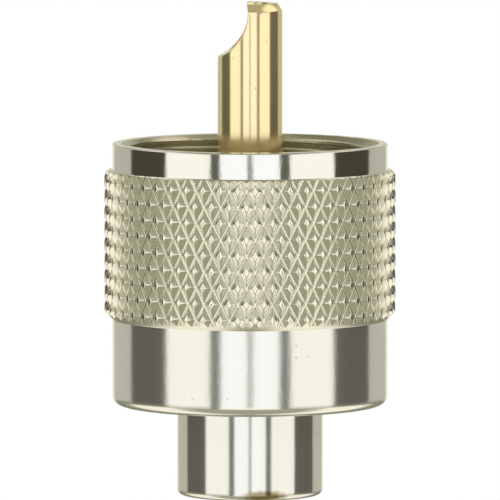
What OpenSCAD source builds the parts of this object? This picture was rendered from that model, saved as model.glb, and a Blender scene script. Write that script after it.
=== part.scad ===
// UHF coaxial plug standing on the end of its cable neck, with the contact pin up.
// A knurled coupling nut slides and spins on the body, held by a split ring.
// Millimetres. Origin on the axis at the rear end of the neck, +Z towards the pin.

/* [Body] */
// Outside diameter of the plain neck at the rear
neck_d = 9; // [8.6:0.1:11]
// Length of the neck, up to the rear shoulder
neck_len = 9.4; // [8.4:0.1:14]
// Rounding of the neck's rear edge
neck_round = 0.35; // [0.1:0.05:0.6]
// Thickness of the rear shoulder that the nut pulls on
shoulder_h = 1.2; // [0.8:0.1:2]
// Thickness of the front flange that meets the mating socket
flange_h = 1.2; // [0.8:0.1:2]
// Outside diameter of the collar, the outer contact
collar_d = 11.9; // [11:0.1:12.4]
// Wall of the collar around the insulator
collar_wall = 1.15; // [0.8:0.05:1.5]
// Length of the collar in front of the flange
collar_len = 5; // [4:0.1:6]
// Bevel on the outside of the collar's rim
collar_bevel = 0.3; // [0.1:0.05:0.5]
// Bore for the cable, open at the rear
cable_bore_d = 5.5; // [3:0.1:6]
// Diameter of the wider chamber behind the insulator
chamber_d = 7; // [6.2:0.1:7.4]
// Length of that chamber
chamber_len = 3; // [1:0.1:5]

/* [Locking teeth] */
// Number of teeth on the front of the flange
tooth_count = 4; // [2:1:8]
// Width of a tooth
tooth_w = 1; // [0.6:0.1:1.6]
// Height of a tooth
tooth_h = 0.6; // [0.3:0.1:1]
// Distance from a tooth to the edge of the flange
tooth_edge = 0.1; // [0.05:0.05:0.2]
// How far the collar's foot, where the teeth start, stands out from the collar
foot_rise = 0.3; // [0.2:0.05:0.35]
// Length of that foot beyond the teeth
foot_spare = 0.2; // [0.1:0.05:0.5]

/* [Insulator] */
// Length of the insulator
insulator_len = 8.6; // [6:0.1:9]
// Depth of its front face below the rim of the collar
insulator_recess = 0.8; // [0.2:0.1:1.5]
// Chamfer on its front edge
insulator_chamfer = 0.3; // [0.1:0.05:0.6]

/* [Contact pin] */
// Outside diameter of the pin
pin_d = 4; // [3.6:0.1:4.4]
// Bore of the pin, open at both ends
pin_bore_d = 2.4; // [1.2:0.1:2.6]
// Length of the pin in front of the insulator
pin_len = 10.8; // [8:0.1:14]
// Width of the bevel around the tip
tip_bevel = 0.3; // [0.1:0.05:0.5]
// Height of the bevel around the tip
tip_bevel_h = 0.45; // [0.1:0.05:0.8]
// Step from the side of the pin down to its root in the insulator
root_step = 0.3; // [0.1:0.05:0.4]
// How far the rolled rear end stands out around the root
flare_step = 0.6; // [0.3:0.05:1]
// Length of the rolled rear end
flare_h = 0.6; // [0.4:0.1:1.5]
// Radius of the solder notch at the tip
notch_r = 2.87; // [2:0.01:3.4]
// Distance from the pin's axis to the deepest point of the notch
notch_offset = 0.13; // [0:0.01:0.6]
// Depth of the notch's centre below the tip
notch_drop = 0.6; // [0:0.1:2]

/* [Coupling nut] */
// Length of the nut
nut_len = 16.15; // [15.4:0.05:20]
// Bore of the nut, the minor diameter of its thread
nut_bore_d = 14.8; // [14:0.05:16]
// Wall of the plain rings above and below the knurl
nut_wall = 1.1; // [0.8:0.05:2]
// How far the nut slides forward
nut_travel = 2.25; // [1:0.05:3]
// Thickness of the lip that closes the nut around the neck
lip_h = 1.5; // [1:0.1:2]
// Rounding of the nut's rear edge
nut_round = 0.6; // [0.2:0.05:1]
// Bevel on the outside of the rim
rim_bevel = 0.1; // [0.05:0.05:0.3]
// Bevel that leads into the bore
mouth_bevel = 0.25; // [0.1:0.05:0.4]

/* [Knurl] */
// How far the tops of the diamonds stand out from the plain rings
knurl_rise = 0.5; // [0.45:0.05:0.8]
// Height of the band's lower edge above the nut's rear face
knurl_start = 5.3; // [2:0.05:5.6]
// Length of the band
knurl_len = 9.25; // [6:0.05:9.4]
// Diamonds around the band
knurl_count = 52; // [30:1:64]
// Angle of the grooves to the axis
knurl_angle = 28.85; // [25:0.05:40]
// Depth of the grooves between the diamonds
knurl_depth = 0.25; // [0.1:0.05:0.4]
// Turn of the whole pattern about the axis
knurl_turn = -1.4; // [-3:0.1:3]
// Bevel at the band's lower edge
knurl_bevel = 0.5; // [0.3:0.05:0.6]
// Height of the rounding at the band's upper edge
knurl_edge = 0.35; // [0.2:0.05:0.5]
// Height of the first row of crossings above the bevel
knurl_run = 0.15; // [0.05:0.05:0.4]

/* [Retaining ring] */
// Thickness of the split ring along the axis
ring_h = 1; // [0.6:0.1:1.4]
// Width of its section from inside to outside
ring_wall = 1.25; // [1:0.05:1.5]
// How far the ring reaches into the groove of the nut
ring_reach = 0.3; // [0.15:0.05:0.35]
// Width of the split
ring_split = 1.6; // [0.6:0.1:3]

/* [Clearances] */
// Between the neck and the lip of the nut, all round
lip_play = 0.4; // [0.2:0.05:0.6]
// Between the rear shoulder and the bore of the nut, all round
shoulder_play = 0.4; // [0.2:0.05:0.6]
// Between the front flange and the bore of the nut, all round
flange_play = 0.25; // [0.15:0.05:0.5]
// Between the ring and the waist of the body, all round
ring_play = 0.2; // [0.1:0.05:0.3]
// Between the ring and the floor of its groove, all round
groove_play = 0.15; // [0.05:0.05:0.2]
// Between flat faces that rest on each other
face_gap = 0.05; // [0.02:0.01:0.1]
// Spare length of the waist beyond the travel of the ring
waist_spare = 0.35; // [0.15:0.05:1]
// Between pressed parts: pin, insulator and body, all round
press_gap = 0.01; // [0.005:0.005:0.02]

/* [Hidden] */
// Facets of a turned surface, and of one rounded corner
turned = 96;
corner = 6;
// Overlap of shapes that are joined into one piece
weld = 0.2;
// Diameters that follow from the bore of the nut
nut_d = nut_bore_d + 2 * nut_wall;
shoulder_d = nut_bore_d - 2 * shoulder_play;
flange_d = nut_bore_d - 2 * flange_play;
ring_d = nut_bore_d + 2 * ring_reach;
groove_d = ring_d + 2 * groove_play;
ring_hole_d = ring_d - 2 * ring_wall;
waist_d = ring_hole_d - 2 * ring_play;
// Heights along the body
waist_len = ring_h + nut_travel + waist_spare;
waist_z = neck_len + shoulder_h;
flange_z = waist_z + waist_len;
collar_z = flange_z + flange_h;
collar_top = collar_z + collar_len;
foot_r = collar_d / 2 + foot_rise;
foot_top = collar_z + tooth_h + foot_spare;
// Insulator, its seat in the body and the pin in it
seat_d = collar_d - 2 * collar_wall;
insulator_top = collar_top - insulator_recess;
seat_z = insulator_top - insulator_len;
pin_root_d = pin_d - 2 * root_step;
flare_d = pin_root_d + 2 * flare_step;
pin_top = insulator_top + pin_len;
// Nut and ring at rest, with the nut slid back
lip_hole_d = neck_d + 2 * lip_play;
nut_z = neck_len - face_gap - nut_travel - lip_h;
nut_top = nut_z + nut_len;
ring_z = waist_z + face_gap;
// Knurl: rows of crossings half a diamond apart
knurl_d = nut_d + 2 * knurl_rise;
knurl_z = nut_z + knurl_start;
row_h = PI * knurl_d / knurl_count / tan(knurl_angle) / 2;
row_count = floor((knurl_len - knurl_bevel - knurl_edge - knurl_run) / row_h);
// Height of the small steps by which the band stands above the plain rings
band_step = 0.06;

// Points of a quarter circle about [x, y] from angle a, turning counterclockwise.
function quarter(x, y, r, a) =
    [for (i = [0 : corner]) [x + r * cos(a + 90 * i / corner), y + r * sin(a + 90 * i / corner)]];

// Solid turned about Z from points [radius, height].
module turn(points) {
    rotate_extrude($fn = turned) polygon(points);
}

// Ring whose outside is cut by crossing grooves, with a raised diamond between them.
// A row of crossings has two points for every diamond, where two grooves cross and at the top
// of a diamond. Below the first row and above the last the grooves run on to the edges of the
// band: such a level is [height, largest radius, row that it runs on from] and has four points
// for every diamond, as each groove has moved away from its crossing.
module knurl_band() {
    pitch = 360 / knurl_count;
    crest_r = knurl_d / 2;
    edge_r = nut_d / 2 + band_step;
    inner_r = nut_d / 2 - weld;
    first_z = knurl_z + knurl_bevel + knurl_run;
    top_z = knurl_z + knurl_len;
    columns = 2 * knurl_count;
    fine = 4 * knurl_count;
    below = [[knurl_z, edge_r, 0], [knurl_z + knurl_bevel, crest_r, 0]];
    above = [
        [top_z - knurl_edge, crest_r, row_count],
        [top_z - knurl_edge / 4, crest_r - knurl_edge / 4, row_count],
        [top_z, edge_r, row_count]
    ];
    function row_z(row) = first_z + row * row_h;
    function place(r, a, z) = [r * cos(a), r * sin(a), z];
    function moved(level) = abs(level[0] - row_z(level[2])) / row_h;
    function bearing(level, k) =
        let (f = moved(level), step = [0, f, 1, 2 - f][k % 4])
        (floor(k / 4) + (level[2] % 2 + step) / 2) * pitch;
    function fine_level(level) = [
        for (k = [0 : fine - 1])
            let (f = moved(level), depth = knurl_depth * [1 - f, 1, f, 1][k % 4])
            place(min(level[1], crest_r - depth), bearing(level, k), level[0])
    ];
    function inner_level(level) = [for (k = [0 : fine - 1]) place(inner_r, bearing(level, k), level[0])];
    rows = [
        for (row = [0 : row_count], column = [0 : columns - 1])
            let (depth = (row + column) % 2 == 0 ? knurl_depth : 0)
            place(crest_r - depth, column * pitch / 2, row_z(row))
    ];
    points = concat(
        inner_level(below[0]), fine_level(below[0]), fine_level(below[1]), rows,
        fine_level(above[0]), fine_level(above[1]), fine_level(above[2]), inner_level(above[2])
    );
    row_start = 3 * fine;
    above_start = row_start + len(rows);
    function on_row(row, column) = row_start + row * columns + (column + columns) % columns;
    function on_fine(start, k) = start + (k + fine) % fine;
    // Squares between two levels of four points for every diamond, from start and from next.
    function squares(start, next) = [
        for (k = [0 : fine - 1])
            each [
                [on_fine(start, k), on_fine(next, k), on_fine(next, k + 1)],
                [on_fine(start, k), on_fine(next, k + 1), on_fine(start, k + 1)]
            ]
    ];
    // Triangles from a row of crossings to the level that runs on from it.
    function fans(row, start) = [
        for (i = [0 : knurl_count - 1])
            let (
                c = 2 * i + row % 2,
                crossing = on_row(row, c),
                peak = on_row(row, c + 1),
                next_crossing = on_row(row, c + 2),
                k = 4 * i
            )
            each [
                [crossing, on_fine(start, k), on_fine(start, k + 1)],
                [crossing, on_fine(start, k - 1), on_fine(start, k)],
                [crossing, on_fine(start, k + 1), peak],
                [peak, on_fine(start, k + 1), on_fine(start, k + 2)],
                [peak, on_fine(start, k + 2), on_fine(start, k + 3)],
                [peak, on_fine(start, k + 3), next_crossing]
            ]
    ];
    function turned_over(faces) = [for (f = faces) [f[0], f[2], f[1]]];
    // Each square between two rows is split along the groove that crosses it.
    knurled = [
        for (row = [0 : row_count - 1], column = [0 : columns - 1])
            let (
                a = on_row(row, column),
                b = on_row(row, column + 1),
                c = on_row(row + 1, column + 1),
                d = on_row(row + 1, column)
            )
            each (row + column) % 2 == 0 ? [[a, d, c], [a, c, b]] : [[a, d, b], [d, c, b]]
    ];
    faces = concat(
        squares(0, fine), squares(fine, 2 * fine), turned_over(fans(0, 2 * fine)), knurled,
        fans(row_count, above_start), squares(above_start, above_start + fine),
        squares(above_start + fine, above_start + 2 * fine),
        squares(above_start + 2 * fine, above_start + 3 * fine), squares(above_start + 3 * fine, 0)
    );
    rotate([0, 0, knurl_turn]) polyhedron(points, faces, convexity = 8);
}

// Coupling nut: lip around the neck, groove for the ring, plain bore where the thread is cut.
module coupling_nut() {
    nut_r = nut_d / 2;
    bore_r = nut_bore_d / 2;
    groove_r = groove_d / 2;
    color([0.76, 0.75, 0.68])
    union() {
        turn(concat(
            [[lip_hole_d / 2, nut_z]],
            quarter(nut_r - nut_round, nut_z + nut_round, nut_round, 270),
            [
                [nut_r, nut_top - rim_bevel],
                [nut_r - rim_bevel, nut_top],
                [bore_r + mouth_bevel, nut_top],
                [bore_r, nut_top - mouth_bevel],
                [bore_r, ring_z + ring_h + face_gap],
                [groove_r, ring_z + ring_h + face_gap],
                [groove_r, ring_z - face_gap],
                [bore_r, ring_z - face_gap],
                [bore_r, nut_z + lip_h],
                [lip_hole_d / 2, nut_z + lip_h]
            ]
        ));
        knurl_band();
    }
}

// Split spring ring that rides on the waist of the body and sits in the groove of the nut.
module retaining_ring() {
    split_angle = 2 * asin(ring_split / (ring_d + ring_hole_d));
    color([0.62, 0.55, 0.42])
    translate([0, 0, ring_z])
    rotate([0, 0, 90 + split_angle / 2])
    rotate_extrude(angle = 360 - split_angle, $fn = turned)
        translate([ring_hole_d / 2, 0]) square([ring_wall, ring_h]);
}

// One locking tooth on the front of the flange, from the collar's foot outwards.
module locking_tooth() {
    inner_r = foot_r - weld;
    outer_r = flange_d / 2 - tooth_edge;
    translate([inner_r, -tooth_w / 2, collar_z - weld])
        cube([outer_r - inner_r, tooth_w, tooth_h + weld]);
}

// Body: neck, rear shoulder, waist, front flange and collar turned from one bar.
module body() {
    neck_r = neck_d / 2;
    seat_r = seat_d / 2;
    color([0.74, 0.73, 0.66])
    union() {
        turn(concat(
            [[cable_bore_d / 2, 0]],
            quarter(neck_r - neck_round, neck_round, neck_round, 270),
            [
                [neck_r, neck_len],
                [shoulder_d / 2, neck_len],
                [shoulder_d / 2, waist_z],
                [waist_d / 2, waist_z],
                [waist_d / 2, flange_z],
                [flange_d / 2, flange_z],
                [flange_d / 2, collar_z],
                [foot_r, collar_z],
                [foot_r, foot_top],
                [collar_d / 2, foot_top],
                [collar_d / 2, collar_top - collar_bevel],
                [collar_d / 2 - collar_bevel, collar_top],
                [seat_r, collar_top],
                [seat_r, seat_z],
                [chamber_d / 2, seat_z],
                [chamber_d / 2, seat_z - chamber_len],
                [cable_bore_d / 2, seat_z - chamber_len]
            ]
        ));
        for (i = [0 : tooth_count - 1]) rotate([0, 0, 360 * i / tooth_count]) locking_tooth();
    }
}

// Insulator: a bush with a counterbore behind for the rolled end of the pin.
module insulator() {
    outer_r = seat_d / 2 - press_gap;
    hole_r = pin_root_d / 2 + press_gap;
    step_r = flare_d / 2 + press_gap;
    step_top = seat_z + flare_h + press_gap;
    color([0.93, 0.92, 0.88])
    turn([
        [step_r, seat_z],
        [outer_r, seat_z],
        [outer_r, insulator_top - insulator_chamfer],
        [outer_r - insulator_chamfer, insulator_top],
        [hole_r, insulator_top],
        [hole_r, step_top],
        [step_r, step_top]
    ]);
}

// Contact pin: a tube with a bevelled tip and a round solder notch. Its thinner root goes
// through the insulator and is rolled over behind it.
module contact_pin() {
    pin_r = pin_d / 2;
    root_r = pin_root_d / 2;
    bore_r = pin_bore_d / 2;
    funnel = (root_r - bore_r) / 2;
    color([0.83, 0.68, 0.36])
    difference() {
        turn([
            [bore_r + funnel, seat_z],
            [flare_d / 2, seat_z],
            [flare_d / 2, seat_z + flare_h],
            [root_r, seat_z + flare_h],
            [root_r, insulator_top],
            [pin_r, insulator_top],
            [pin_r, pin_top - tip_bevel_h],
            [pin_r - tip_bevel, pin_top],
            [bore_r, pin_top],
            [bore_r, seat_z + funnel]
        ]);
        translate([-notch_r - notch_offset, 0, pin_top - notch_drop])
            rotate([90, 0, 0])
            cylinder(r = notch_r, h = 2 * pin_d, center = true, $fn = turned);
    }
}

coupling_nut();
retaining_ring();
body();
insulator();
contact_pin();
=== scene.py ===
"""UHF coaxial plug standing on its neck: surfaces, materials, studio light and camera."""

import logging
import math
from dataclasses import dataclass, field
from enum import Enum
from typing import Sequence

import bmesh
import bpy
import numpy as np
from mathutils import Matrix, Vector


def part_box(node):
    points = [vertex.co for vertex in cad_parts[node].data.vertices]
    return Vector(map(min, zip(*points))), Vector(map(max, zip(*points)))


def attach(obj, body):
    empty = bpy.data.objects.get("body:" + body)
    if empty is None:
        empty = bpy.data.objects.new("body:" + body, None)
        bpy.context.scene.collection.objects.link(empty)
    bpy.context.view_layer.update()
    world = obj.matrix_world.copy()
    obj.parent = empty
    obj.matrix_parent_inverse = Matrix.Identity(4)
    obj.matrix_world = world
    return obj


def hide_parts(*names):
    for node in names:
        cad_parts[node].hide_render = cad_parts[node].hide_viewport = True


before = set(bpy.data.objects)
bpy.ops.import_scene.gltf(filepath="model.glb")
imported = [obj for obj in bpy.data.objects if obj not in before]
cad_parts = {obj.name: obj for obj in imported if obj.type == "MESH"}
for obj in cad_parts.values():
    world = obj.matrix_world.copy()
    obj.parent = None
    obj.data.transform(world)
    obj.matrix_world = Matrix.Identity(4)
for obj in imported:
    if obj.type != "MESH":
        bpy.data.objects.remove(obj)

LOG = logging.getLogger("uhf_connector")
MM = 0.001
TAU = 2 * math.pi
WHITE = (1.0, 1.0, 1.0, 1.0)

# Closeness in metres at which points of a mesh are welded, and at which an edge has no length.
WELD = 2e-6
NO_LENGTH = 1e-6

# Most that a rounding and its support point take of a side, and how far the point lies beyond the arc.
ARC_SHARE = 0.45
SUPPORT_SHARE = 0.49
SUPPORT_STRETCH = 1.35
SUPPORT_GAP = 0.01

Colour = tuple[float, float, float]
Stop = tuple[float, Colour]
SocketValue = float | tuple | bpy.types.NodeSocket


class Body(str, Enum):
    """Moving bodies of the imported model."""

    PLUG = "plug"
    RING = "ring"
    NUT = "nut"


class Node(str, Enum):
    """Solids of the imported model."""

    NUT = "coupling_nut"
    RING = "retaining_ring"
    BODY = "body"
    INSULATOR = "insulator"
    PIN = "contact_pin"


class Slot(str, Enum):
    """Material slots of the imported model."""

    NUT = "nut_plating"
    RING = "ring_bronze"
    BODY = "body_plating"
    INSULATOR = "insulator_plastic"
    PIN = "pin_gold"


# Surfaces


@dataclass
class Surface:
    """Faces over points in millimetres."""

    points: np.ndarray
    faces: list[np.ndarray] = field(default_factory=list)

    def __add__(self, other: "Surface") -> "Surface":
        """Join two surfaces without welding them."""
        shift = len(self.points)
        return Surface(np.vstack([self.points, other.points]), self.faces + [f + shift for f in other.faces])


def grid(points: np.ndarray, wrap: bool = False) -> Surface:
    """Join a sheet of points into quads.

    Args:
        points: array of rows x columns x 3, counterclockwise in columns and rising in rows
            when seen from outside.
        wrap: whether the last column joins the first.

    Returns:
        The surface, with its faces outward.
    """
    rows, columns = points.shape[:2]
    index = np.arange(rows * columns).reshape(rows, columns)
    if wrap:
        index = np.hstack([index, index[:, :1]])
    quads = np.stack([index[:-1, :-1], index[:-1, 1:], index[1:, 1:], index[1:, :-1]], axis=-1)
    return Surface(points.reshape(-1, 3), [quads.reshape(-1, 4)])


def polar(radius: np.ndarray, angle: np.ndarray, height: np.ndarray) -> np.ndarray:
    """Points at a radius, an angle about Z and a height, broadcast together."""
    radius, angle, height = np.broadcast_arrays(radius, angle, height)
    return np.stack([radius * np.cos(angle), radius * np.sin(angle), height], axis=-1)


def rounded(
    corners: Sequence[tuple[float, float, float]], steps: int = 4, closed: bool = False
) -> np.ndarray:
    """Round the corners of a profile.

    Each corner is cut back along both of its sides by radius * tan(turn / 2) and replaced by an
    arc; a point beside each end of the arc keeps the flat parts flat when shaded.

    Args:
        corners: radius, height and rounding of each corner, in millimetres.
        steps: segments of an arc.
        closed: whether the last corner joins the first.

    Returns:
        Array of points x 2, radius and height.
    """
    path = np.array([c[:2] for c in corners], float)
    out: list[np.ndarray] = []
    count = len(path)
    for i, (_, _, radius) in enumerate(corners):
        here = path[i]
        if radius <= 0 or (not closed and i in (0, count - 1)):
            out.append(here[None])
            continue
        back, ahead = path[i - 1] - here, path[(i + 1) % count] - here
        long_back, long_ahead = np.linalg.norm(back), np.linalg.norm(ahead)
        back, ahead = back / long_back, ahead / long_ahead
        opening = math.acos(float(np.clip(back @ ahead, -1, 1)))
        cut = min(radius / math.tan(opening / 2), ARC_SHARE * long_back, ARC_SHARE * long_ahead)
        radius = cut * math.tan(opening / 2)
        middle = here + (back + ahead) / np.linalg.norm(back + ahead) * radius / math.sin(opening / 2)
        first, last = here + back * cut - middle, here + ahead * cut - middle
        sweep = math.pi - opening
        share = np.linspace(0, 1, steps + 1)[:, None]
        arc = (np.sin((1 - share) * sweep) * first + np.sin(share * sweep) * last) / math.sin(sweep) + middle
        beyond = cut * SUPPORT_STRETCH + SUPPORT_GAP
        support_back = here + back * min(beyond, SUPPORT_SHARE * long_back)
        support_ahead = here + ahead * min(beyond, SUPPORT_SHARE * long_ahead)
        out += [support_back[None], arc, support_ahead[None]]
    return np.vstack(out)


def turned(profile: np.ndarray, columns: int, closed: bool = False) -> Surface:
    """Turn a profile about Z.

    Args:
        profile: points x 2, radius and height, rising on the outside.
        columns: points around.
        closed: whether the last point of the profile joins the first.

    Returns:
        The surface, radius * (cos a, sin a) at each height.
    """
    if closed:
        profile = np.vstack([profile, profile[:1]])
    angle = np.arange(columns) / columns * TAU
    return grid(polar(profile[:, :1], angle[None], profile[:, 1:]), wrap=True)


def zipped(low: np.ndarray, high: np.ndarray) -> Surface:
    """Join two loops about Z that have different points with one strip of triangles.

    Both loops are sorted by angle. Each edge of one loop takes the last point of the other that
    lies before the edge's end.

    Args:
        low: points x 3 of the lower loop.
        high: points x 3 of the upper loop.

    Returns:
        The strip, with its faces away from the axis.
    """
    loops = []
    for loop in (low, high):
        angle = np.arctan2(loop[:, 1], loop[:, 0])
        order = np.argsort(angle)
        loops.append((loop[order], angle[order]))
    (low, low_angle), (high, high_angle) = loops
    count_low, count_high = len(low), len(high)
    i, j = np.arange(count_low), np.arange(count_high)
    facing_high = (np.searchsorted(high_angle, np.roll(low_angle, -1), "left") - 1) % count_high
    facing_low = (np.searchsorted(low_angle, np.roll(high_angle, -1), "right") - 1) % count_low
    from_low = np.stack([i, (i + 1) % count_low, facing_high + count_low], axis=-1)
    from_high = np.stack([(j + 1) % count_high + count_low, j + count_low, facing_low], axis=-1)
    return Surface(np.vstack([low, high]), [from_low, from_high])


def make_object(
    name: str,
    surface: Surface,
    material: bpy.types.Material,
    body: Body,
    node: Node,
    crease: float = 40.0,
) -> bpy.types.Object:
    """Weld a surface into a closed mesh object that stands for a solid.

    Args:
        name: name of the piece.
        surface: its faces, in millimetres.
        material: its material.
        body: body that it rides on.
        node: solid that it stands for.
        crease: edges that turn by more than this many degrees stay sharp.

    Returns:
        The new object.
    """
    mesh = bpy.data.meshes.new(name)
    faces = [face for block in surface.faces for face in block.tolist()]
    mesh.from_pydata((surface.points * MM).tolist(), [], faces)
    work = bmesh.new()
    work.from_mesh(mesh)
    bmesh.ops.remove_doubles(work, verts=work.verts, dist=WELD)
    bmesh.ops.dissolve_degenerate(work, edges=work.edges, dist=NO_LENGTH)
    open_edges = sum(1 for edge in work.edges if len(edge.link_faces) != 2)
    if open_edges:
        LOG.warning("%s: %d open edges", name, open_edges)
    bmesh.ops.recalc_face_normals(work, faces=work.faces)
    work.to_mesh(mesh)
    work.free()
    mesh.shade_smooth()
    mesh.set_sharp_from_angle(angle=math.radians(crease))
    mesh.materials.append(material)
    obj = bpy.data.objects.new(name, mesh)
    bpy.context.scene.collection.objects.link(obj)
    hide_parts(node.value)
    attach(obj, body.value)
    LOG.info("%s: %d triangles", name, sum(len(face.vertices) - 2 for face in mesh.polygons))
    return obj


# Shader groups


def rgba(colour: Colour) -> tuple[float, float, float, float]:
    """Colour with full opacity."""
    return (*colour, 1.0)


def add_node(
    tree: bpy.types.NodeTree, kind: str, inputs: dict | None = None, **settings: object
) -> bpy.types.Node:
    """Add a shader node.

    Args:
        tree: tree that takes it.
        kind: type name of the node.
        inputs: value or output socket for each input, by name or number.
        settings: properties of the node.

    Returns:
        The new node.
    """
    node = tree.nodes.new(kind)
    for key, value in settings.items():
        setattr(node, key, value)
    for key, value in (inputs or {}).items():
        if isinstance(value, bpy.types.NodeSocket):
            tree.links.new(value, node.inputs[key])
        else:
            node.inputs[key].default_value = value
    return node


def compute(
    tree: bpy.types.NodeTree, operation: str, *values: SocketValue, clamp: bool = False
) -> bpy.types.NodeSocket:
    """Add a math node.

    Args:
        tree: tree that takes it.
        operation: name of the operation.
        values: numbers or output sockets that it works on.
        clamp: whether the result is kept between 0 and 1.

    Returns:
        The result's socket.
    """
    inputs = dict(enumerate(values))
    return add_node(tree, "ShaderNodeMath", inputs, operation=operation, use_clamp=clamp).outputs[0]


def spread(
    tree: bpy.types.NodeTree,
    value: SocketValue,
    start: SocketValue = 0.0,
    end: SocketValue = 1.0,
    low: float = 0.0,
    high: float = 1.0,
) -> bpy.types.NodeSocket:
    """Map a value from one range to another and keep it inside.

    Args:
        tree: tree that takes the node.
        value: number or output socket to map.
        start: value that gives the low result.
        end: value that gives the high result.
        low: result at the start.
        high: result at the end.

    Returns:
        The result's socket.
    """
    inputs = {0: value, 1: start, 2: end, 3: low, 4: high}
    return add_node(tree, "ShaderNodeMapRange", inputs).outputs[0]


def mixed(
    tree: bpy.types.NodeTree, share: SocketValue, first: SocketValue, second: SocketValue
) -> bpy.types.NodeSocket:
    """Mix two colours.

    Args:
        tree: tree that takes the node.
        share: share of the second colour.
        first: red, green, blue and alpha, or an output socket.
        second: the same for the other colour.

    Returns:
        The colour's socket.
    """
    return add_node(tree, "ShaderNodeMix", {0: share, 6: first, 7: second}, data_type="RGBA").outputs[2]


def new_material(name: str) -> tuple[bpy.types.Material, bpy.types.NodeTree]:
    """Start a material with an empty tree.

    Args:
        name: name of the material.

    Returns:
        The material and its tree.
    """
    material = bpy.data.materials.new(name)
    material.use_nodes = True
    material.node_tree.nodes.clear()
    return material, material.node_tree


class GroupBuilder:
    """Shader node group with named inputs and outputs."""

    def __init__(self, name: str, inputs: dict[str, float | tuple], outputs: Sequence[str]) -> None:
        """Start a group.

        Args:
            name: name of the group.
            inputs: default value of each named input.
            outputs: names of the outputs.
        """
        self.tree = bpy.data.node_groups.new(name, "ShaderNodeTree")
        for label, value in inputs.items():
            kind = "NodeSocketFloat" if isinstance(value, float) else "NodeSocketVector"
            socket = self.tree.interface.new_socket(label, in_out="INPUT", socket_type=kind)
            socket.default_value = value
        for label in outputs:
            self.tree.interface.new_socket(label, in_out="OUTPUT", socket_type="NodeSocketFloat")
        self.source = self.tree.nodes.new("NodeGroupInput").outputs
        self.sink = self.tree.nodes.new("NodeGroupOutput").inputs

    def node(self, kind: str, inputs: dict | None = None, **settings: object) -> bpy.types.Node:
        """Add a node with its settings and inputs."""
        return add_node(self.tree, kind, inputs, **settings)

    def math(self, operation: str, *values: SocketValue, clamp: bool = False) -> bpy.types.NodeSocket:
        """Add a math node and return its result."""
        return compute(self.tree, operation, *values, clamp=clamp)

    def vector(self, operation: str, *values: SocketValue) -> bpy.types.Node:
        """Add a vector math node."""
        return self.node("ShaderNodeVectorMath", dict(enumerate(values)), operation=operation)

    def place(self) -> bpy.types.NodeSocket:
        """Object coordinates in millimetres."""
        inputs = {0: self.node("ShaderNodeTexCoord").outputs["Object"], "Scale": 1 / MM}
        return self.node("ShaderNodeVectorMath", inputs, operation="SCALE").outputs[0]

    def radius_and_height(self) -> tuple[bpy.types.NodeSocket, bpy.types.NodeSocket]:
        """Distance from the axis and height, in millimetres.

        Returns:
            The two sockets, radius first.
        """
        x, y, z = self.node("ShaderNodeSeparateXYZ", {0: self.place()}).outputs
        squares = self.math("ADD", self.math("MULTIPLY", x, x), self.math("MULTIPLY", y, y))
        return self.math("SQRT", squares), z

    def noise(
        self, place: bpy.types.NodeSocket, size: bpy.types.NodeSocket, detail: float, roughness: float = 0.5
    ) -> bpy.types.NodeSocket:
        """Add a noise.

        Args:
            place: where it is looked up, in millimetres.
            size: size of its largest cells, in millimetres.
            detail: octaves beyond the first.
            roughness: weight of the finer octaves.

        Returns:
            A value from 0 to 1.
        """
        inputs = {"Vector": place, "Scale": self.math("DIVIDE", 1.0, size), "Detail": detail}
        return self.node("ShaderNodeTexNoise", inputs | {"Roughness": roughness}).outputs[0]

    def finish(self, **results: bpy.types.NodeSocket) -> bpy.types.NodeTree:
        """Send each named result to its output.

        Args:
            results: socket for each output.

        Returns:
            The finished group.
        """
        for label, value in results.items():
            self.tree.links.new(value, self.sink[label])
        return self.tree


def grain_group() -> bpy.types.NodeTree:
    """Fine plating grain.

    Returns:
        A group with the noise as a height in millimetres and as a value from 0 to 1.
    """
    build = GroupBuilder("PlatingGrain", {"Size": 0.05, "Height": 0.001}, ["Height", "Value"])
    noise = build.noise(build.place(), build.source["Size"], detail=3.0, roughness=0.6)
    return build.finish(Height=build.math("MULTIPLY", noise, build.source["Height"]), Value=noise)


def ripple_group() -> bpy.types.NodeTree:
    """Long shallow waves of a plated surface, stretched along the axis.

    Returns:
        A group with a height in millimetres.
    """
    build = GroupBuilder("PlatingRipple", {"Size": 0.4, "Stretch": 3.0, "Height": 0.001}, ["Height"])
    along = build.math("DIVIDE", 1.0, build.source["Stretch"])
    squeeze = build.node("ShaderNodeCombineXYZ", {"X": 1.0, "Y": 1.0, "Z": along}).outputs[0]
    place = build.vector("MULTIPLY", build.place(), squeeze).outputs[0]
    noise = build.noise(place, build.source["Size"], detail=2.0)
    return build.finish(Height=build.math("MULTIPLY", noise, build.source["Height"]))


def turning_group() -> bpy.types.NodeTree:
    """Turning marks: noise over the radius and the height, the same all the way round.

    Returns:
        A group with a height in millimetres.
    """
    build = GroupBuilder("TurningMarks", {"Pitch": 0.06, "Height": 0.0005}, ["Height"])
    radius, height = build.radius_and_height()
    place = build.node("ShaderNodeCombineXYZ", {"X": radius, "Y": 0.0, "Z": height}).outputs[0]
    noise = build.noise(place, build.source["Pitch"], detail=1.0)
    return build.finish(Height=build.math("MULTIPLY", noise, build.source["Height"]))


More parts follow.
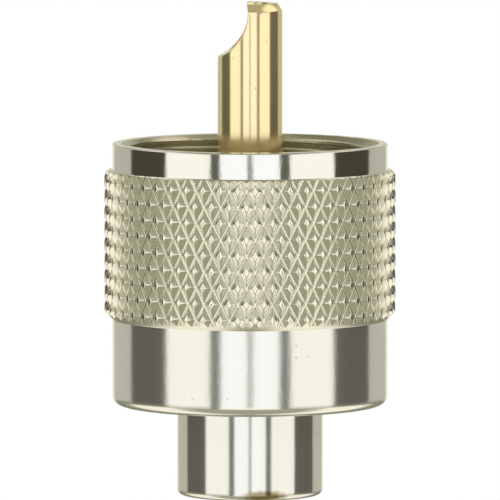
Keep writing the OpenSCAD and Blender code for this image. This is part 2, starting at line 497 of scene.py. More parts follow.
def speck_group() -> bpy.types.NodeTree:
    """Pits and specks: cells of which a given share, picked by their random colour, carries a dot.

    Returns:
        A group with a mask of 1 in the middle of a dot.
    """
    build = GroupBuilder("PlatingSpecks", {"Size": 0.3, "Share": 0.1}, ["Mask"])
    fall = 3.5
    scale = build.math("DIVIDE", 1.0, build.source["Size"])
    cells = build.node("ShaderNodeTexVoronoi", {"Vector": build.place(), "Scale": scale, "Randomness": 1.0})
    dot = build.math("SUBTRACT", 1.0, build.math("MULTIPLY", cells.outputs["Distance"], fall), clamp=True)
    pick = build.node("ShaderNodeSeparateColor", {0: cells.outputs["Color"]}).outputs[0]
    chosen = build.math("LESS_THAN", pick, build.source["Share"])
    return build.finish(Mask=build.math("MULTIPLY", dot, chosen))


def height_group() -> bpy.types.NodeTree:
    """Share of the way from one height to another, in millimetres.

    Returns:
        A group with a share from 0 to 1.
    """
    build = GroupBuilder("HeightShare", {"Low": 0.0, "High": 1.0}, ["Share"])
    _, height = build.radius_and_height()
    return build.finish(Share=spread(build.tree, height, build.source["Low"], build.source["High"]))


def band_group() -> bpy.types.NodeTree:
    """Band between two heights, in millimetres.

    Returns:
        A group with a mask of 1 inside the band.
    """
    build = GroupBuilder("HeightBand", {"Low": 0.0, "High": 1.0}, ["Mask"])
    _, height = build.radius_and_height()
    above = build.math("GREATER_THAN", height, build.source["Low"])
    below = build.math("LESS_THAN", height, build.source["High"])
    return build.finish(Mask=build.math("MULTIPLY", above, below))


def bore_group() -> bpy.types.NodeTree:
    """Inside of a bore: nearer to the axis than a radius and above a height, in millimetres.

    Returns:
        A group with a mask of 1 inside the bore.
    """
    build = GroupBuilder("InsideBore", {"Radius": 0.0, "Low": 0.0}, ["Mask"])
    radius, height = build.radius_and_height()
    above = build.math("GREATER_THAN", height, build.source["Low"])
    inside = build.math("LESS_THAN", radius, build.source["Radius"])
    return build.finish(Mask=build.math("MULTIPLY", above, inside))


def stain_group() -> bpy.types.NodeTree:
    """Stain: a soft ellipsoid about a point, with a ragged edge.

    Returns:
        A group with a mask of 1 in the middle of the stain.
    """
    inputs = {"Centre": (0.0, 0.0, 0.0), "Reach": (1.0, 1.0, 1.0), "Ragged": 0.5, "Size": 0.3}
    build = GroupBuilder("Stain", inputs, ["Mask"])
    place = build.place()
    offset = build.vector("SUBTRACT", place, build.source["Centre"]).outputs[0]
    shared = build.vector("DIVIDE", offset, build.source["Reach"]).outputs[0]
    far = build.vector("LENGTH", shared).outputs["Value"]
    noise = build.noise(place, build.source["Size"], detail=4.0)
    ragged = build.math("MULTIPLY", build.math("SUBTRACT", noise, 0.5), build.source["Ragged"])
    return build.finish(Mask=spread(build.tree, build.math("ADD", far, ragged), 1.0, 0.5))


# Finishes


class ShaderKit:
    """Node groups that the materials share."""

    def __init__(self) -> None:
        """Build the groups."""
        self.grain = grain_group()
        self.ripple = ripple_group()
        self.turning = turning_group()
        self.specks = speck_group()
        self.stain = stain_group()
        self.height = height_group()
        self.band = band_group()
        self.bore = bore_group()

    @staticmethod
    def use(tree: bpy.types.NodeTree, group: bpy.types.NodeTree, **inputs: SocketValue) -> bpy.types.Node:
        """Add a shared group to a material, with a value or a socket for each named input."""
        return add_node(tree, "ShaderNodeGroup", inputs, node_tree=group)


@dataclass(frozen=True)
class Metal:
    """Plated metal finish.

    Sizes and heights are millimetres. What starts with band is for the stretch between the two
    heights in band, what starts with bore for the inside of a bore of that radius above bore_from,
    and what ends with low is added under low_height, over twice the fade. The bore's darker tan
    colour is painted shade inside the recess. Haze is the share that shines like paint in place of metal.
    """

    name: str
    colour: Colour
    stain: Colour
    roughness: float
    uneven: float
    grain_size: float
    grain_height: float
    ripple_height: float
    turning_height: float
    speck_share: float
    rough_low: float = 0.0
    low_height: float = 11.0
    fade: float = 0.2
    band: tuple[float, float] = (-99.0, -98.0)
    band_grain: float = 1.0
    band_rough: float = 0.0
    band_colour: Colour = (0.8, 0.8, 0.8)
    bore: float = 0.0
    bore_from: float = 12.0
    # Darker tan inside the bore: painted shade of the recess.
    bore_painted_shade: Colour = (0.8, 0.8, 0.8)
    bore_rough: float = 0.0
    haze: float = 0.0
    haze_low: float = 0.0
    stain_centre: tuple[float, float, float] = (0.0, 0.0, -99.0)
    stain_reach: tuple[float, float, float] = (1.0, 1.0, 1.0)
    pit: float = 0.004

    def build(self, kit: ShaderKit) -> bpy.types.Material:
        """Build the material.

        Args:
            kit: shared node groups.

        Returns:
            The material.
        """
        material, tree = new_material(self.name)
        band = kit.use(tree, kit.band, Low=self.band[0], High=self.band[1]).outputs[0]
        bore = kit.use(tree, kit.bore, Radius=self.bore, Low=self.bore_from).outputs[0]
        fade = {"Low": self.low_height + self.fade, "High": self.low_height - self.fade}
        lower = kit.use(tree, kit.height, **fade).outputs[0]
        specks = kit.use(tree, kit.specks, Size=0.35, Share=self.speck_share).outputs[0]
        stain = kit.use(tree, kit.stain, Centre=self.stain_centre, Reach=self.stain_reach).outputs[0]
        coarse = spread(tree, band, low=self.grain_height, high=self.grain_height * self.band_grain)
        grain = kit.use(tree, kit.grain, Size=self.grain_size, Height=coarse).outputs
        ripple = kit.use(tree, kit.ripple, Size=0.45, Stretch=3.0, Height=self.ripple_height).outputs[0]
        turning = kit.use(tree, kit.turning, Pitch=0.05, Height=self.turning_height).outputs[0]
        relief = compute(tree, "ADD", compute(tree, "ADD", grain["Height"], ripple), turning)
        relief = compute(tree, "MULTIPLY_ADD", specks, -self.pit, relief)
        bump = add_node(tree, "ShaderNodeBump", {"Height": relief, "Strength": 1.0, "Distance": MM})
        tint = mixed(tree, band, rgba(self.colour), rgba(self.band_colour))
        # Painted shade: the inside of the bore takes a darker tan colour.
        tint = mixed(tree, bore, tint, rgba(self.bore_painted_shade))
        tint = mixed(tree, compute(tree, "MAXIMUM", specks, stain), tint, rgba(self.stain))
        smooth, matt = self.roughness - self.uneven, self.roughness + self.uneven
        rough = spread(tree, grain["Value"], 0.3, 0.7, smooth, matt)
        for mask, more in ((lower, self.rough_low), (band, self.band_rough), (bore, self.bore_rough)):
            rough = compute(tree, "MULTIPLY_ADD", mask, more, rough)
        clear = 1.0 - self.haze
        shader = add_node(tree, "ShaderNodeBsdfPrincipled", {
            "Base Color": tint, "Metallic": spread(tree, lower, low=clear, high=clear - self.haze_low),
            "Roughness": rough, "Normal": bump.outputs[0],
        })
        add_node(tree, "ShaderNodeOutputMaterial", {0: shader.outputs[0]})
        return material


@dataclass(frozen=True)
class Plastic:
    """White fluoropolymer finish."""

    name: str = "FluoroplasticWhite"
    colour: Colour = (0.86, 0.85, 0.81)

    def build(self, kit: ShaderKit) -> bpy.types.Material:
        """Build the material.

        Args:
            kit: shared node groups.

        Returns:
            The material.
        """
        material, tree = new_material(self.name)
        turning = kit.use(tree, kit.turning, Pitch=0.08, Height=0.003).outputs[0]
        grain = kit.use(tree, kit.grain, Size=0.12, Height=0.001).outputs
        relief = compute(tree, "ADD", turning, grain["Height"])
        bump = add_node(tree, "ShaderNodeBump", {"Height": relief, "Strength": 1.0, "Distance": MM})
        shader = add_node(tree, "ShaderNodeBsdfPrincipled", {
            "Base Color": rgba(self.colour), "Roughness": spread(tree, grain["Value"], low=0.35, high=0.55),
            "Normal": bump.outputs[0], "Subsurface Weight": 0.15, "Subsurface Scale": MM,
        })
        add_node(tree, "ShaderNodeOutputMaterial", {0: shader.outputs[0]})
        return material


# Pieces


@dataclass
class Knurl:
    """Diamond knurl of the nut, laid out flat and wrapped on the nut.

    A diamond is one column wide and two rows high. Reach is the distance from its middle to the
    grooves around it, and near is how close two points have to be to count as one.
    """

    crest_r: float = 9.0
    base_r: float = 8.5
    low: float = 10.9
    high: float = 20.15
    count: int = 52
    row: float = 0.987
    first_row: float = 11.55
    rows: int = 11
    phase: float = math.radians(-91.4 + 180 / 52)
    reach: float = 0.4764
    bevel: float = 0.5
    rounding: float = 0.4
    near: float = 1e-4

    def cell(self) -> np.ndarray:
        """One raised diamond, laid out as rings about its top.

        Ring s is |p|^n + |q|^n = s^n, where p and q are 0 at the top of the diamond and 1 in
        the grooves around it. The exponent n grows outwards, so the ring's corners are round at
        the top and sharp in the grooves. Slope is the fall to the side at each ring: a small
        level top bends into a straight flank, which ends in a rounded groove.

        Returns:
            Rings x columns x 3: p and q from 0 to 1, and the depth in millimetres.
        """
        ring = np.array([0, 0.16, 0.26, 0.32, 0.4, 0.8, 0.91, 1])[:, None]
        power = np.array([5, 5, 7, 9, 14, 60, 200, 1e6])[:, None]
        slope = np.array([0, 0.08, 0.18, 0.4, 0.95, 1.05, 0.5, 0])
        steps = np.diff(ring[:, 0]) * (slope[1:] + slope[:-1]) / 2 * self.reach
        fall = np.concatenate([[0], np.cumsum(steps)])[:, None]
        side = np.array([-1, -0.8, 0, 0.8])
        shrink = (1 + np.abs(side) ** power) ** (-1 / power)
        ahead, aside = ring * shrink, ring * shrink * side
        across = np.hstack([ahead, -aside, -ahead, aside])
        along = np.hstack([aside, ahead, -aside, -ahead])
        depth = np.broadcast_to(fall, across.shape)
        return np.stack([(1 + across) / 2, (1 + along) / 2, depth], axis=-1)

    def limits(self) -> list[tuple[float, float, float, float]]:
        """Planes that cut the band's edges back: a bevel below and a round of three facets above.

        Returns:
            Height and depth at the two ends of each plane.
        """
        turn = np.radians([0, 30, 60, 90])
        height = self.high - self.rounding + self.rounding * np.sin(turn)
        depth = (self.crest_r - self.base_r) * (1 - np.cos(turn))
        edges = [(self.low, self.crest_r - self.base_r, self.low + self.bevel, 0.0)]
        edges += [(height[i], depth[i], height[i + 1], depth[i + 1]) for i in range(len(turn) - 1)]
        return edges

    def flat(self) -> tuple[np.ndarray, list[list[int]]]:
        """Lay the band out flat and cut its edges.

        Returns:
            Points as distance around, height and negative depth, and the faces over them.
        """
        cell = self.cell()
        p, q, depth = cell[..., 0], cell[..., 1], cell[..., 2]
        width = TAU * self.crest_r / self.count
        cell = np.stack([(p - q) * width / 2, (p + q) * self.row, -depth], axis=-1)
        column, level = np.meshgrid(np.arange(self.count), np.arange(-1, self.rows - 1))
        column, level = column.ravel(), level.ravel()
        shift = np.zeros((len(column), 1, 1, 3))
        shift[:, 0, 0, 0] = (column + (level % 2) / 2) * width
        shift[:, 0, 0, 1] = self.first_row + (level - 1) * self.row
        points = (cell[None] + shift).reshape(-1, 3)
        quads = grid(cell, wrap=True).faces[0]
        faces = (quads[None] + (np.arange(len(column)) * p.size)[:, None, None]).reshape(-1, 4)
        mesh = bpy.data.meshes.new("flat_knurl")
        mesh.from_pydata(points.tolist(), [], faces.tolist())
        work = bmesh.new()
        work.from_mesh(mesh)
        bmesh.ops.remove_doubles(work, verts=work.verts, dist=self.near)

        def cut(height: float, depth: float, normal: tuple[float, float, float], clear: bool = False) -> None:
            """Cut the sheet at a plane.

            Args:
                height: height of a point of the plane.
                depth: depth of the same point.
                normal: direction that the plane faces.
                clear: whether what lies beyond the plane is dropped.
            """
            bmesh.ops.bisect_plane(
                work, geom=work.verts[:] + work.edges[:] + work.faces[:], dist=self.near / 10,
                plane_co=(0, height, -depth), plane_no=normal, clear_outer=clear,
            )

        cut(self.low, 0, (0, -1, 0), clear=True)
        cut(self.high, 0, (0, 1, 0), clear=True)
        for z0, d0, z1, d1 in self.limits():
            cut(z0, d0, (0, d0 - d1, z0 - z1))
            cut(z1 if z0 == self.low else z0, 0, (0, 1, 0))
        work.verts.index_update()
        flat = np.array([v.co[:] for v in work.verts])
        faces = [[v.index for v in face.verts] for face in work.faces]
        work.free()
        bpy.data.meshes.remove(mesh)
        return flat, faces

    def wrapped(self) -> tuple[Surface, np.ndarray, np.ndarray]:
        """Wrap the band on the nut.

        Returns:
            The surface, and the points of its lower and its upper edge.
        """
        flat, faces = self.flat()
        height, depth = flat[:, 1], -flat[:, 2]
        for z0, d0, z1, d1 in self.limits():
            inside = (height >= z0 - self.near) & (height <= z1 + self.near)
            least = d0 + (d1 - d0) * (height - z0) / (z1 - z0)
            depth = np.where(inside, np.maximum(depth, least), depth)
        angle = flat[:, 0] / self.crest_r + self.phase
        points = polar(self.crest_r - depth, angle, height)
        sizes = {len(face) for face in faces}
        blocks = [np.array([face for face in faces if len(face) == size]) for size in sorted(sizes)]
        edges = []
        for level in (self.low, self.high):
            loop = points[np.abs(height - level) < self.near]
            _, first = np.unique(np.round(np.arctan2(loop[:, 1], loop[:, 0]), 6), return_index=True)
            edges.append(loop[first])
        return Surface(points, blocks), edges[0], edges[1]


@dataclass
class CouplingNut:
    """Knurled coupling nut with a threaded mouth, all one closed mesh.

    Crest_z is the height of a thread crest at crest_degrees from +X, and turns_down is how many
    turns are laid out below it. Seam_low and seam_high are the heights of the plain strips that
    join the knurled band to the plain rings.
    """

    rear: float
    front: float
    outer_r: float = 8.5
    bore_r: float = 7.4
    hole_r: float = 4.9
    lip: float = 1.5
    groove_r: float = 7.85
    groove_low: float = 10.6
    groove_high: float = 11.7
    pitch: float = 25.4 / 24
    root_r: float = 7.94
    thread_low: float = 12.6
    crest_z: float = 21.55
    crest_degrees: float = 125.0
    turns_down: int = 10
    mouth: float = 0.25
    seam_low: float = 0.08
    seam_high: float = 0.06
    columns: int = 260
    knurl: Knurl = field(default_factory=Knurl)

    def thread(self) -> np.ndarray:
        """Inside of the mouth, a right-handed helix.

        A row runs along one place of the thread's section, and rises by one pitch a turn:
        z = z0 + pitch * (turns + angle / full turn). The radius follows the section, meets the
        bevel at the mouth and fades to the plain bore at the inner end.

        Returns:
            Rows x columns x 3 points, from the mouth inwards.
        """
        angle = np.linspace(0, TAU, self.columns + 1)
        section = np.array([[0, 0.0], [0.1, 0.02], [0.15, 0.075], [0.41, 0.97], [0.44, 1.0],
                            [0.56, 1.0], [0.59, 0.97], [0.85, 0.075], [0.9, 0.02]])
        crest = self.crest_z - self.pitch * self.crest_degrees / 360
        turns = range(-1, self.turns_down + 1)
        phase = np.sort(np.concatenate([section[:, 0] - turn for turn in turns]))[::-1]
        height = crest + self.pitch * (phase[:, None] + angle[None] / TAU)
        height = np.clip(height, self.groove_high, self.front)
        place = ((height - crest) / self.pitch - angle[None] / TAU) % 1.0
        sunk = np.interp(place, np.append(section[:, 0], 1.0), np.append(section[:, 1], 0.0))
        sunk = sunk * np.clip((height - self.thread_low) / self.pitch, 0, 1)
        radius = self.bore_r + (self.root_r - self.bore_r) * sunk
        bevel = self.bore_r + self.mouth - (self.front - height)
        radius = np.maximum(radius, bevel)
        return polar(radius, angle[None], height)

    def circle(self, radius: float, height: float, points: int) -> np.ndarray:
        """Points about Z, each one column on from the one before.

        Args:
            radius: radius in millimetres.
            height: height in millimetres.
            points: number of points, of which one more than the columns closes the circle.

        Returns:
            Points x 3.
        """
        angle = np.arange(points) / self.columns * TAU
        return polar(np.full(1, radius), angle, np.full(1, height))

    def surface(self) -> Surface:
        """Join the band, the plain rings, the rim, the thread and the bore.

        Returns:
            The surface of the whole nut.
        """
        band, low_edge, high_edge = self.knurl.wrapped()
        low = rounded([
            (self.bore_r, self.groove_low, 0), (self.bore_r, self.rear + self.lip, 0.15),
            (self.hole_r, self.rear + self.lip, 0.1), (self.hole_r, self.rear, 0.15),
            (self.outer_r, self.rear, 0.55), (self.outer_r, self.knurl.low - self.seam_low, 0),
        ], steps=6)
        groove = np.array([(self.bore_r, self.groove_high), (self.groove_r, self.groove_high),
                           (self.groove_r, self.groove_low), (self.bore_r, self.groove_low)])
        high = rounded([
            (self.outer_r, self.knurl.high + self.seam_high, 0), (self.outer_r, self.front, 0.09),
            (self.root_r, self.front, 0),
        ])
        lower, upper = turned(low, self.columns), turned(high, self.columns)
        bottom = zipped(self.circle(self.outer_r, low[-1, 1], self.columns), low_edge)
        top = zipped(high_edge, self.circle(self.outer_r, high[0, 1], self.columns))
        rim = self.circle(self.root_r, self.front, self.columns + 1)
        inside = grid(np.vstack([rim[None], self.thread()]))
        return lower + turned(groove, self.columns) + band + upper + bottom + top + inside

    def build(self, material: bpy.types.Material) -> bpy.types.Object:
        """Make the nut."""
        return make_object("nut_shell", self.surface(), material, Body.NUT, Node.NUT, crease=30)


@dataclass
class PlugBody:
    """Body: neck, shoulder, waist, flange with locking teeth, collar on its foot, and the bores."""

    bore_r: float = 2.75
    neck_r: float = 4.5
    shoulder_r: float = 7.0
    shoulder_low: float = 9.4
    shoulder_high: float = 10.6
    waist_r: float = 6.25
    flange_r: float = 7.15
    flange_low: float = 14.2
    flange_high: float = 15.4
    foot_r: float = 6.25
    foot_high: float = 16.2
    collar_r: float = 5.95
    collar_high: float = 20.4
    seat_r: float = 4.8
    seat_low: float = 11.0
    chamber_r: float = 3.5
    chamber_low: float = 8.0
    columns: int = 256
    teeth: int = 4
    tooth_half: float = 0.5
    tooth_h: float = 0.6
    tooth_r: float = 7.05
    tooth_edge: float = 0.06
    tooth_sink: float = 0.1

    def surface(self) -> Surface:
        """Turn the body without its teeth.

        Returns:
            The surface, from the cable bore round the outside to the seat of the insulator.
        """
        profile = rounded([
            (self.bore_r, self.chamber_low, 0), (self.bore_r, 0, 0.15),
            (self.neck_r, 0, 0.35), (self.neck_r, self.shoulder_low, 0.1),
            (self.shoulder_r, self.shoulder_low, 0.12), (self.shoulder_r, self.shoulder_high, 0.12),
            (self.waist_r, self.shoulder_high, 0.08), (self.waist_r, self.flange_low, 0.08),
            (self.flange_r, self.flange_low, 0.1), (self.flange_r, self.flange_high, 0.1),
            (self.foot_r, self.flange_high, 0.06), (self.foot_r, self.foot_high, 0.06),
            (self.collar_r, self.foot_high, 0.04), (self.collar_r, self.collar_high, 0.22),
            (self.seat_r, self.collar_high, 0.08), (self.seat_r, self.seat_low, 0.05),
            (self.chamber_r, self.seat_low, 0.05), (self.chamber_r, self.chamber_low, 0.05),
        ], steps=5, closed=True)
        return turned(profile, self.columns, closed=True)

    def tooth(self, turn: float) -> Surface:
        """One closed tooth with bevelled edges, sunk a little into the flange and the foot.

        Args:
            turn: angle of its place about Z, in radians.

        Returns:
            The surface of the tooth.
        """
        edge, high = self.tooth_edge, self.flange_high + self.tooth_h
        levels = [(self.flange_high - self.tooth_sink, 0.0), (high - edge, 0.0),
                  (high - edge * 0.3, edge * 0.3), (high, edge)]
        rings = []
        for height, inset in levels:
            inner, outer, half = self.foot_r - self.tooth_sink, self.tooth_r - inset, self.tooth_half - inset
            ring = [(inner, -half), (outer - edge, -half), (outer, -half + edge), (outer, half - edge),
                    (outer - edge, half), (inner, half)]
            rings.append([(x, y, height) for x, y in ring])
        points = np.array(rings)
        rows, corners = points.shape[:2]
        first, last = np.arange(corners)[::-1], np.arange(corners) + (rows - 1) * corners
        solid = grid(points, wrap=True) + Surface(points.reshape(-1, 3), [first[None], last[None]])
        cos, sin = math.cos(turn), math.sin(turn)
        spin = np.array([[cos, sin, 0], [-sin, cos, 0], [0, 0, 1]])
        return Surface(solid.points @ spin, solid.faces)

    def build(self, material: bpy.types.Material) -> bpy.types.Object:
        """Make the body.

        Args:
            material: its material.

        Returns:
            The new object.
        """
        whole = self.surface()
        for index in range(self.teeth):
            whole = whole + self.tooth(index * TAU / self.teeth)
        return make_object("plug_body", whole, material, Body.PLUG, Node.BODY, crease=35)


@dataclass
class ContactPin:
    """Hollow contact pin with a bevelled tip, a round solder notch and a headed root.

    The notch is cut by a cylinder along Y, at notch_x and notch_drop under the tip. Above split
    the columns of the wall lean towards the rim, and bend is how far beside a bend its support
    loops lie.
    """

    top: float
    radius: float = 2.0
    bore: float = 1.2
    bevel: float = 0.3
    bevel_h: float = 0.45
    notch_r: float = 2.87
    notch_x: float = -3.0
    notch_drop: float = 0.6
    edge: float = 0.04
    bend: float = 0.02
    split: float = 26.0
    stem_r: float = 1.7
    stem_high: float = 19.6
    head_r: float = 2.3
    head_low: float = 11.0
    head_high: float = 11.6
    entry_r: float = 1.45
    entry_high: float = 11.25
    front: int = 96
    notch: int = 96
    wall_rows: int = 14

    def rim(self, rho: float, sink: float) -> np.ndarray:
        """Edge loop of the tip at one radius.

        Outside the notch the height is the tip's, which falls along the bevel. In the notch the
        points lie on a cylinder along Y: x = cx + R cos a, z = cz - R sin a, y = +-sqrt(rho^2 - x^2).

        Args:
            rho: distance from the axis.
            sink: how far the loop lies under the sharp edge.

        Returns:
            Columns x 3 points, counterclockwise from the notch's rear edge.
        """
        reach = self.notch_r + sink
        centre = self.top - self.notch_drop
        tip = self.top - sink - max(rho - self.radius + self.bevel, 0) * self.bevel_h / self.bevel
        start = -math.asin((tip - centre) / reach)
        x_edge = self.notch_x + reach * math.cos(start)
        side = math.acos(x_edge / rho)
        end = math.acos((-rho - self.notch_x) / reach)
        angle = np.linspace(-side, side, self.front, endpoint=False)
        plain = np.stack([rho * np.cos(angle), rho * np.sin(angle), np.full_like(angle, tip)], axis=-1)
        bow = np.linspace(start, end, self.notch // 2 + 1)
        x = self.notch_x + reach * np.cos(bow)
        y = np.sqrt(np.maximum(rho**2 - x**2, 0))
        z = centre - reach * np.sin(bow)
        y[-1] = 0.0
        rear = np.stack([x, y, z], axis=-1)
        near = np.stack([x, -y, z], axis=-1)[1:-1][::-1]
        return np.vstack([plain, rear, near])

    @staticmethod
    def wall(rho: float, loop: np.ndarray, heights: np.ndarray) -> np.ndarray:
        """Rows of a wall whose columns lean towards the points of the rim loop.

        The lean grows with the square of the way up, from even columns at the bottom.

        Args:
            rho: distance from the axis.
            loop: points x 3 of the rim.
            heights: height of each row before it follows the rim.

        Returns:
            Rows x columns x 3 points, from the bottom up.
        """
        goal = np.unwrap(np.arctan2(loop[:, 1], loop[:, 0]))
        even = goal[0] + np.arange(len(loop)) / len(loop) * TAU
        bottom, top = heights[0], heights[-1]
        share = ((heights - bottom) / (top - bottom))[:, None]
        angle = even[None] + (goal - even)[None] * share**2
        height = bottom + (loop[:, 2][None] - bottom) * share
        return polar(np.full((1, 1), rho), angle, height)

    def crown(self) -> np.ndarray:
        """Loops over the tip, from the rounded outer edge over the bevel to the rounded inner edge.

        Returns:
            Loops x columns x 3 points.
        """
        corner, middle = self.radius - self.bevel, 1.5
        outer = [self.radius - self.edge * 0.3, self.radius - self.edge, self.radius - self.bevel / 2]
        inner = [self.bore + self.edge * 1.5, self.bore + self.edge, self.bore + self.edge * 0.3]
        radii = [*outer, corner + self.bend, corner - self.bend, middle, *inner]
        sinks = [0.3 * self.edge] + [0.0] * (len(radii) - 2) + [0.3 * self.edge]
        return np.stack([self.rim(rho, sink) for rho, sink in zip(radii, sinks)])

    def surface(self) -> Surface:
        """Join the root, the outside, the tip and the bore.

        Returns:
            The surface of the whole pin.
        """
        heights = np.linspace(self.split, self.top, self.wall_rows)
        outside = self.wall(self.radius, self.rim(self.radius, self.edge), heights)
        inside = self.wall(self.bore, self.rim(self.bore, self.edge), heights)[::-1]
        root = rounded([
            (self.bore, self.split, 0), (self.bore, self.entry_high, 0), (self.entry_r, self.head_low, 0.05),
            (self.head_r, self.head_low, 0.2), (self.head_r, self.head_high, 0.2),
            (self.stem_r, self.head_high, 0.05), (self.stem_r, self.stem_high, 0.05),
            (self.radius, self.stem_high, 0.05), (self.radius, self.split, 0),
        ])
        even_out, even_in = (np.unwrap(np.arctan2(row[:, 1], row[:, 0])) for row in (outside[0], inside[-1]))
        share = np.linspace(0, 1, len(root))[:, None]
        lower = polar(root[:, :1], even_in[None] * (1 - share) + even_out[None] * share, root[:, 1:])
        return grid(np.concatenate([lower, outside[1:], self.crown(), inside]), wrap=True)

    def build(self, material: bpy.types.Material) -> bpy.types.Object:
        """Make the pin."""
        return make_object("pin_tube", self.surface(), material, Body.PLUG, Node.PIN, crease=40)


@dataclass
class Insulator:
    """Bush that holds the pin in the body, with a wider hole for the pin's head below."""

    outer_r: float = 4.79
    hole_r: float = 1.71
    head_hole_r: float = 2.31
    low: float = 11.0
    head_high: float = 11.61
    high: float = 19.6
    bevel: float = 0.3
    columns: int = 160

    def surface(self) -> Surface:
        """Turn the bush.

        Returns:
            The surface, from the head's hole round the outside to the pin's hole.
        """
        profile = rounded([
            (self.head_hole_r, self.low, 0.05), (self.outer_r, self.low, 0.1),
            (self.outer_r, self.high - self.bevel, 0.08), (self.outer_r - self.bevel, self.high, 0.08),
            (self.hole_r, self.high, 0.08), (self.hole_r, self.head_high, 0),
            (self.head_hole_r, self.head_high, 0),
        ], closed=True)
        return turned(profile, self.columns, closed=True)

    def build(self, material: bpy.types.Material) -> bpy.types.Object:
        """Make the insulator."""
        bush = self.surface()
        return make_object("insulator_bush", bush, material, Body.PLUG, Node.INSULATOR)


@dataclass
class RetainingRing:
    """Split spring ring between the body and the nut."""

    inner_r: float = 6.45
    outer_r: float = 7.7
    low: float = 10.65
    high: float = 11.65
    edge: float = 0.08
    gap: float = 1.6
    columns: int = 200

    def surface(self) -> Surface:
        """Sweep the ring's section around the axis and cap both ends, with the gap on the +Y side.

        Returns:
            The surface of the whole ring.
        """
        corners = [(self.inner_r, self.low), (self.outer_r, self.low), (self.outer_r, self.high),
                   (self.inner_r, self.high)]
        profile = rounded([(radius, height, self.edge) for radius, height in corners], closed=True)
        half = math.asin(self.gap / (self.inner_r + self.outer_r))
        angle = math.pi / 2 + np.linspace(half, TAU - half, self.columns)
        loop = np.vstack([profile, profile[:1]])
        sweep = polar(loop[:, :1], angle[None], loop[:, 1:])
        count = len(profile)
        ends = sweep[:-1, [0, -1]].transpose(1, 0, 2).reshape(-1, 3)
        caps = Surface(ends, [np.arange(count)[None], (np.arange(count)[::-1] + count)[None]])
        return grid(sweep) + caps

    def build(self, material: bpy.types.Material) -> bpy.types.Object:
        """Make the retaining ring."""
        return make_object("spring_ring", self.surface(), material, Body.RING, Node.RING)


# Studio


@dataclass(frozen=True)
class Layer:
    """Part of the studio that takes over from a start to an end elevation, all in degrees.

    The stops are its colours by their angle from the front, the same on both sides.
    """

    start: float
    end: float
    stops: Sequence[Stop]


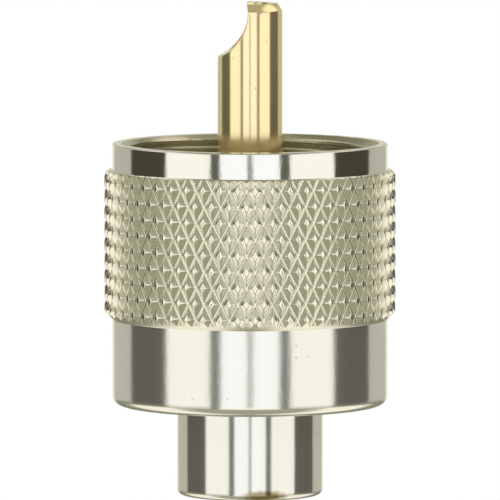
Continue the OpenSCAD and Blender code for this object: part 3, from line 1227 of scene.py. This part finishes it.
@dataclass
class Studio:
    """White floor, wrap-around light and the camera of the photograph."""

    target: tuple[float, float, float] = (0.0, 0.0, 15.13)
    distance: float = 560.0
    elevation: float = 5.0
    lens: float = 653.0
    floor_reach: float = 1.5

    def camera(self) -> None:
        """Place the camera on the -Y side, a little above the part."""
        data = bpy.data.cameras.new("camera")
        data.lens = self.lens
        data.sensor_width = 36.0
        data.clip_start, data.clip_end = 0.01, 100.0
        obj = bpy.data.objects.new("camera", data)
        tilt = math.radians(self.elevation)
        x, y, z = self.target
        back, rise = self.distance * math.cos(tilt), self.distance * math.sin(tilt)
        obj.location = (x * MM, (y - back) * MM, (z + rise) * MM)
        obj.rotation_euler = (math.pi / 2 - tilt, 0, 0)
        bpy.context.scene.collection.objects.link(obj)
        bpy.context.scene.camera = obj

    def floor(self) -> None:
        """Add a floor that is white for the camera, and that the metal does not mirror."""
        mesh = bpy.data.meshes.new("floor")
        reach = self.floor_reach
        corners = [(-reach, -reach, 0), (reach, -reach, 0), (reach, reach, 0), (-reach, reach, 0)]
        mesh.from_pydata(corners, [], [(0, 1, 2, 3)])
        material, tree = new_material("FloorWhite")
        matt = add_node(tree, "ShaderNodeBsdfDiffuse", {"Color": (0.98, 0.98, 0.98, 1.0)})
        glow = add_node(tree, "ShaderNodeEmission", {"Color": WHITE, "Strength": 1.0})
        seen = add_node(tree, "ShaderNodeLightPath").outputs["Is Camera Ray"]
        shader = add_node(tree, "ShaderNodeMixShader", {0: seen, 1: matt.outputs[0], 2: glow.outputs[0]})
        add_node(tree, "ShaderNodeOutputMaterial", {0: shader.outputs[0]})
        mesh.materials.append(material)
        obj = bpy.data.objects.new("floor", mesh)
        obj.visible_glossy = False
        bpy.context.scene.collection.objects.link(obj)

    @staticmethod
    def layers() -> list[Layer]:
        """Light boxes, gaps and dark walls that the metal mirrors.

        Returns:
            The layers, of which the first is all round and each other one covers those before it.
        """
        front, cream, warm = (1.12, 1.14, 1.17), (1.1, 1.09, 1.02), (0.9, 0.88, 0.72)
        bright, flank, half = (1.12, 1.09, 0.98), (1.08, 1.03, 0.9), (0.6, 0.58, 0.47)
        sand, tan, grey = (0.55, 0.54, 0.42), (0.66, 0.65, 0.54), (0.5, 0.5, 0.43)
        olive, lens, shade = (0.35, 0.35, 0.25), (0.3, 0.3, 0.25), (0.24, 0.235, 0.16)
        gap, dark = (0.12, 0.12, 0.095), (0.065, 0.058, 0.042)
        level = [(0, lens), (1, lens), (3, front), (24, front), (26, gap), (32.5, gap), (34.5, cream),
                 (73.5, cream), (76, dark), (117, dark), (120, grey)]
        sides = [(0, olive), (48, olive), (64, half), (76, flank), (122, flank), (142, shade)]
        back = [(76, dark), (117, dark), (120, grey)]
        return [
            Layer(-91, -90, [*level, (158, grey), (163, warm)]),
            Layer(-1, 3, [*level, (150, grey), (160, tan)]),
            Layer(-8, -15, [(25, bright), (27, gap), (32, gap), (34, sand), (73, sand), (76, shade)]),
            Layer(-18, -24, sides),
            Layer(5, 10, [(25, front), (27, gap), (40, gap), (43, warm), (73.5, warm), *back]),
            Layer(13, 18, [(22, bright), (28, sand), (72, sand), *back]),
            Layer(20, 25, sides),
            Layer(50, 60, [(0, olive)]),
        ]

    @staticmethod
    def strips(
        tree: bpy.types.NodeTree, share: bpy.types.NodeSocket, stops: Sequence[Stop]
    ) -> bpy.types.NodeSocket:
        """Add a colour ramp around the part, the same on its left and its right.

        Args:
            tree: tree that takes it.
            share: 0 at the front and 1 at the back.
            stops: degrees from the front and colour of each stop.

        Returns:
            The colour's socket.
        """
        node = add_node(tree, "ShaderNodeValToRGB", {0: share})
        elements = node.color_ramp.elements
        elements.remove(elements[-1])
        elements[0].position, elements[0].color = stops[0][0] / 180, rgba(stops[0][1])
        for degree, colour in stops[1:]:
            elements.new(degree / 180).color = rgba(colour)
        return node.outputs[0]

    def world(self) -> None:
        """Build the studio that the metal mirrors, by direction, and white for the camera."""
        world = bpy.data.worlds.new("studio")
        bpy.context.scene.world = world
        world.use_nodes = True
        tree = world.node_tree
        tree.nodes.clear()
        way = add_node(tree, "ShaderNodeTexCoord").outputs["Generated"]
        x, y, z = add_node(tree, "ShaderNodeSeparateXYZ", {0: way}).outputs
        side = compute(tree, "ABSOLUTE", compute(tree, "ARCTAN2", x, compute(tree, "MULTIPLY", y, -1.0)))
        share = compute(tree, "DIVIDE", side, math.pi)
        rise = compute(tree, "ARCSINE", z)
        base, *others = self.layers()
        seen = self.strips(tree, share, base.stops)
        for layer in others:
            reach = spread(tree, rise, math.radians(layer.start), math.radians(layer.end))
            seen = mixed(tree, reach, seen, self.strips(tree, share, layer.stops))
        glossy = add_node(tree, "ShaderNodeLightPath").outputs["Is Glossy Ray"]
        plain = add_node(tree, "ShaderNodeBackground", {"Color": WHITE, "Strength": 1.0})
        studio = add_node(tree, "ShaderNodeBackground", {"Color": seen, "Strength": 1.0})
        pick = add_node(tree, "ShaderNodeMixShader", {0: glossy, 1: plain.outputs[0], 2: studio.outputs[0]})
        add_node(tree, "ShaderNodeOutputWorld", {0: pick.outputs[0]})

    def build(self) -> None:
        """Build all of the studio."""
        self.camera()
        self.floor()
        self.world()
        bpy.context.scene.view_settings.view_transform = "Standard"


def make_materials() -> dict[Slot, bpy.types.Material]:
    """Build the finish of every slot.

    Returns:
        The material of each slot.
    """
    nickel = (0.86, 0.85, 0.79)
    finishes = {
        Slot.NUT: Metal(
            "NutNickel", nickel, stain=(0.6, 0.58, 0.48), roughness=0.08, uneven=0.02, grain_size=0.1,
            grain_height=0.0009, ripple_height=0.0035, turning_height=0.0003, speck_share=0.025,
            rough_low=0.06, haze_low=0.07, band=(11.0, 20.1), band_grain=4.0, band_rough=0.08,
            # The darker tan inside the nut's threaded bore is painted shade.
            band_colour=(0.9, 0.88, 0.77), bore=7.97, bore_painted_shade=(0.66, 0.62, 0.48), bore_rough=0.2,
        ),
        Slot.BODY: Metal(
            "BodyNickel", nickel, stain=(0.36, 0.3, 0.16), roughness=0.12, uneven=0.03, grain_size=0.08,
            grain_height=0.0006, ripple_height=0.002, turning_height=0.0003, speck_share=0.03, haze=0.09,
            stain_centre=(0.9, -4.3, 0.3), stain_reach=(1.6, 1.2, 0.45),
        ),
        Slot.RING: Metal(
            "RingBronze", (0.72, 0.5, 0.27), stain=(0.3, 0.2, 0.1), roughness=0.3, uneven=0.06,
            grain_size=0.05, grain_height=0.001, ripple_height=0.002, turning_height=0.001, speck_share=0.03,
        ),
        Slot.PIN: Metal(
            "PinGold", (1.0, 0.84, 0.5), stain=(0.6, 0.45, 0.2), roughness=0.15, uneven=0.03, grain_size=0.08,
            grain_height=0.0004, ripple_height=0.001, turning_height=0.0004, speck_share=0.02, haze=0.1,
        ),
        Slot.INSULATOR: Plastic(),
    }
    kit = ShaderKit()
    return {slot: finish.build(kit) for slot, finish in finishes.items()}


def main() -> None:
    """Build the scene."""
    logging.basicConfig(level=logging.INFO, format="%(message)s")
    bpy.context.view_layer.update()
    Studio().build()
    finish = make_materials()
    nut_low, nut_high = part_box(Node.NUT.value)
    _, pin_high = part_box(Node.PIN.value)
    CouplingNut(rear=nut_low.z / MM, front=nut_high.z / MM).build(finish[Slot.NUT])
    PlugBody().build(finish[Slot.BODY])
    Insulator().build(finish[Slot.INSULATOR])
    ContactPin(top=pin_high.z / MM).build(finish[Slot.PIN])
    RetainingRing().build(finish[Slot.RING])


if __name__ == "__main__":
    main()
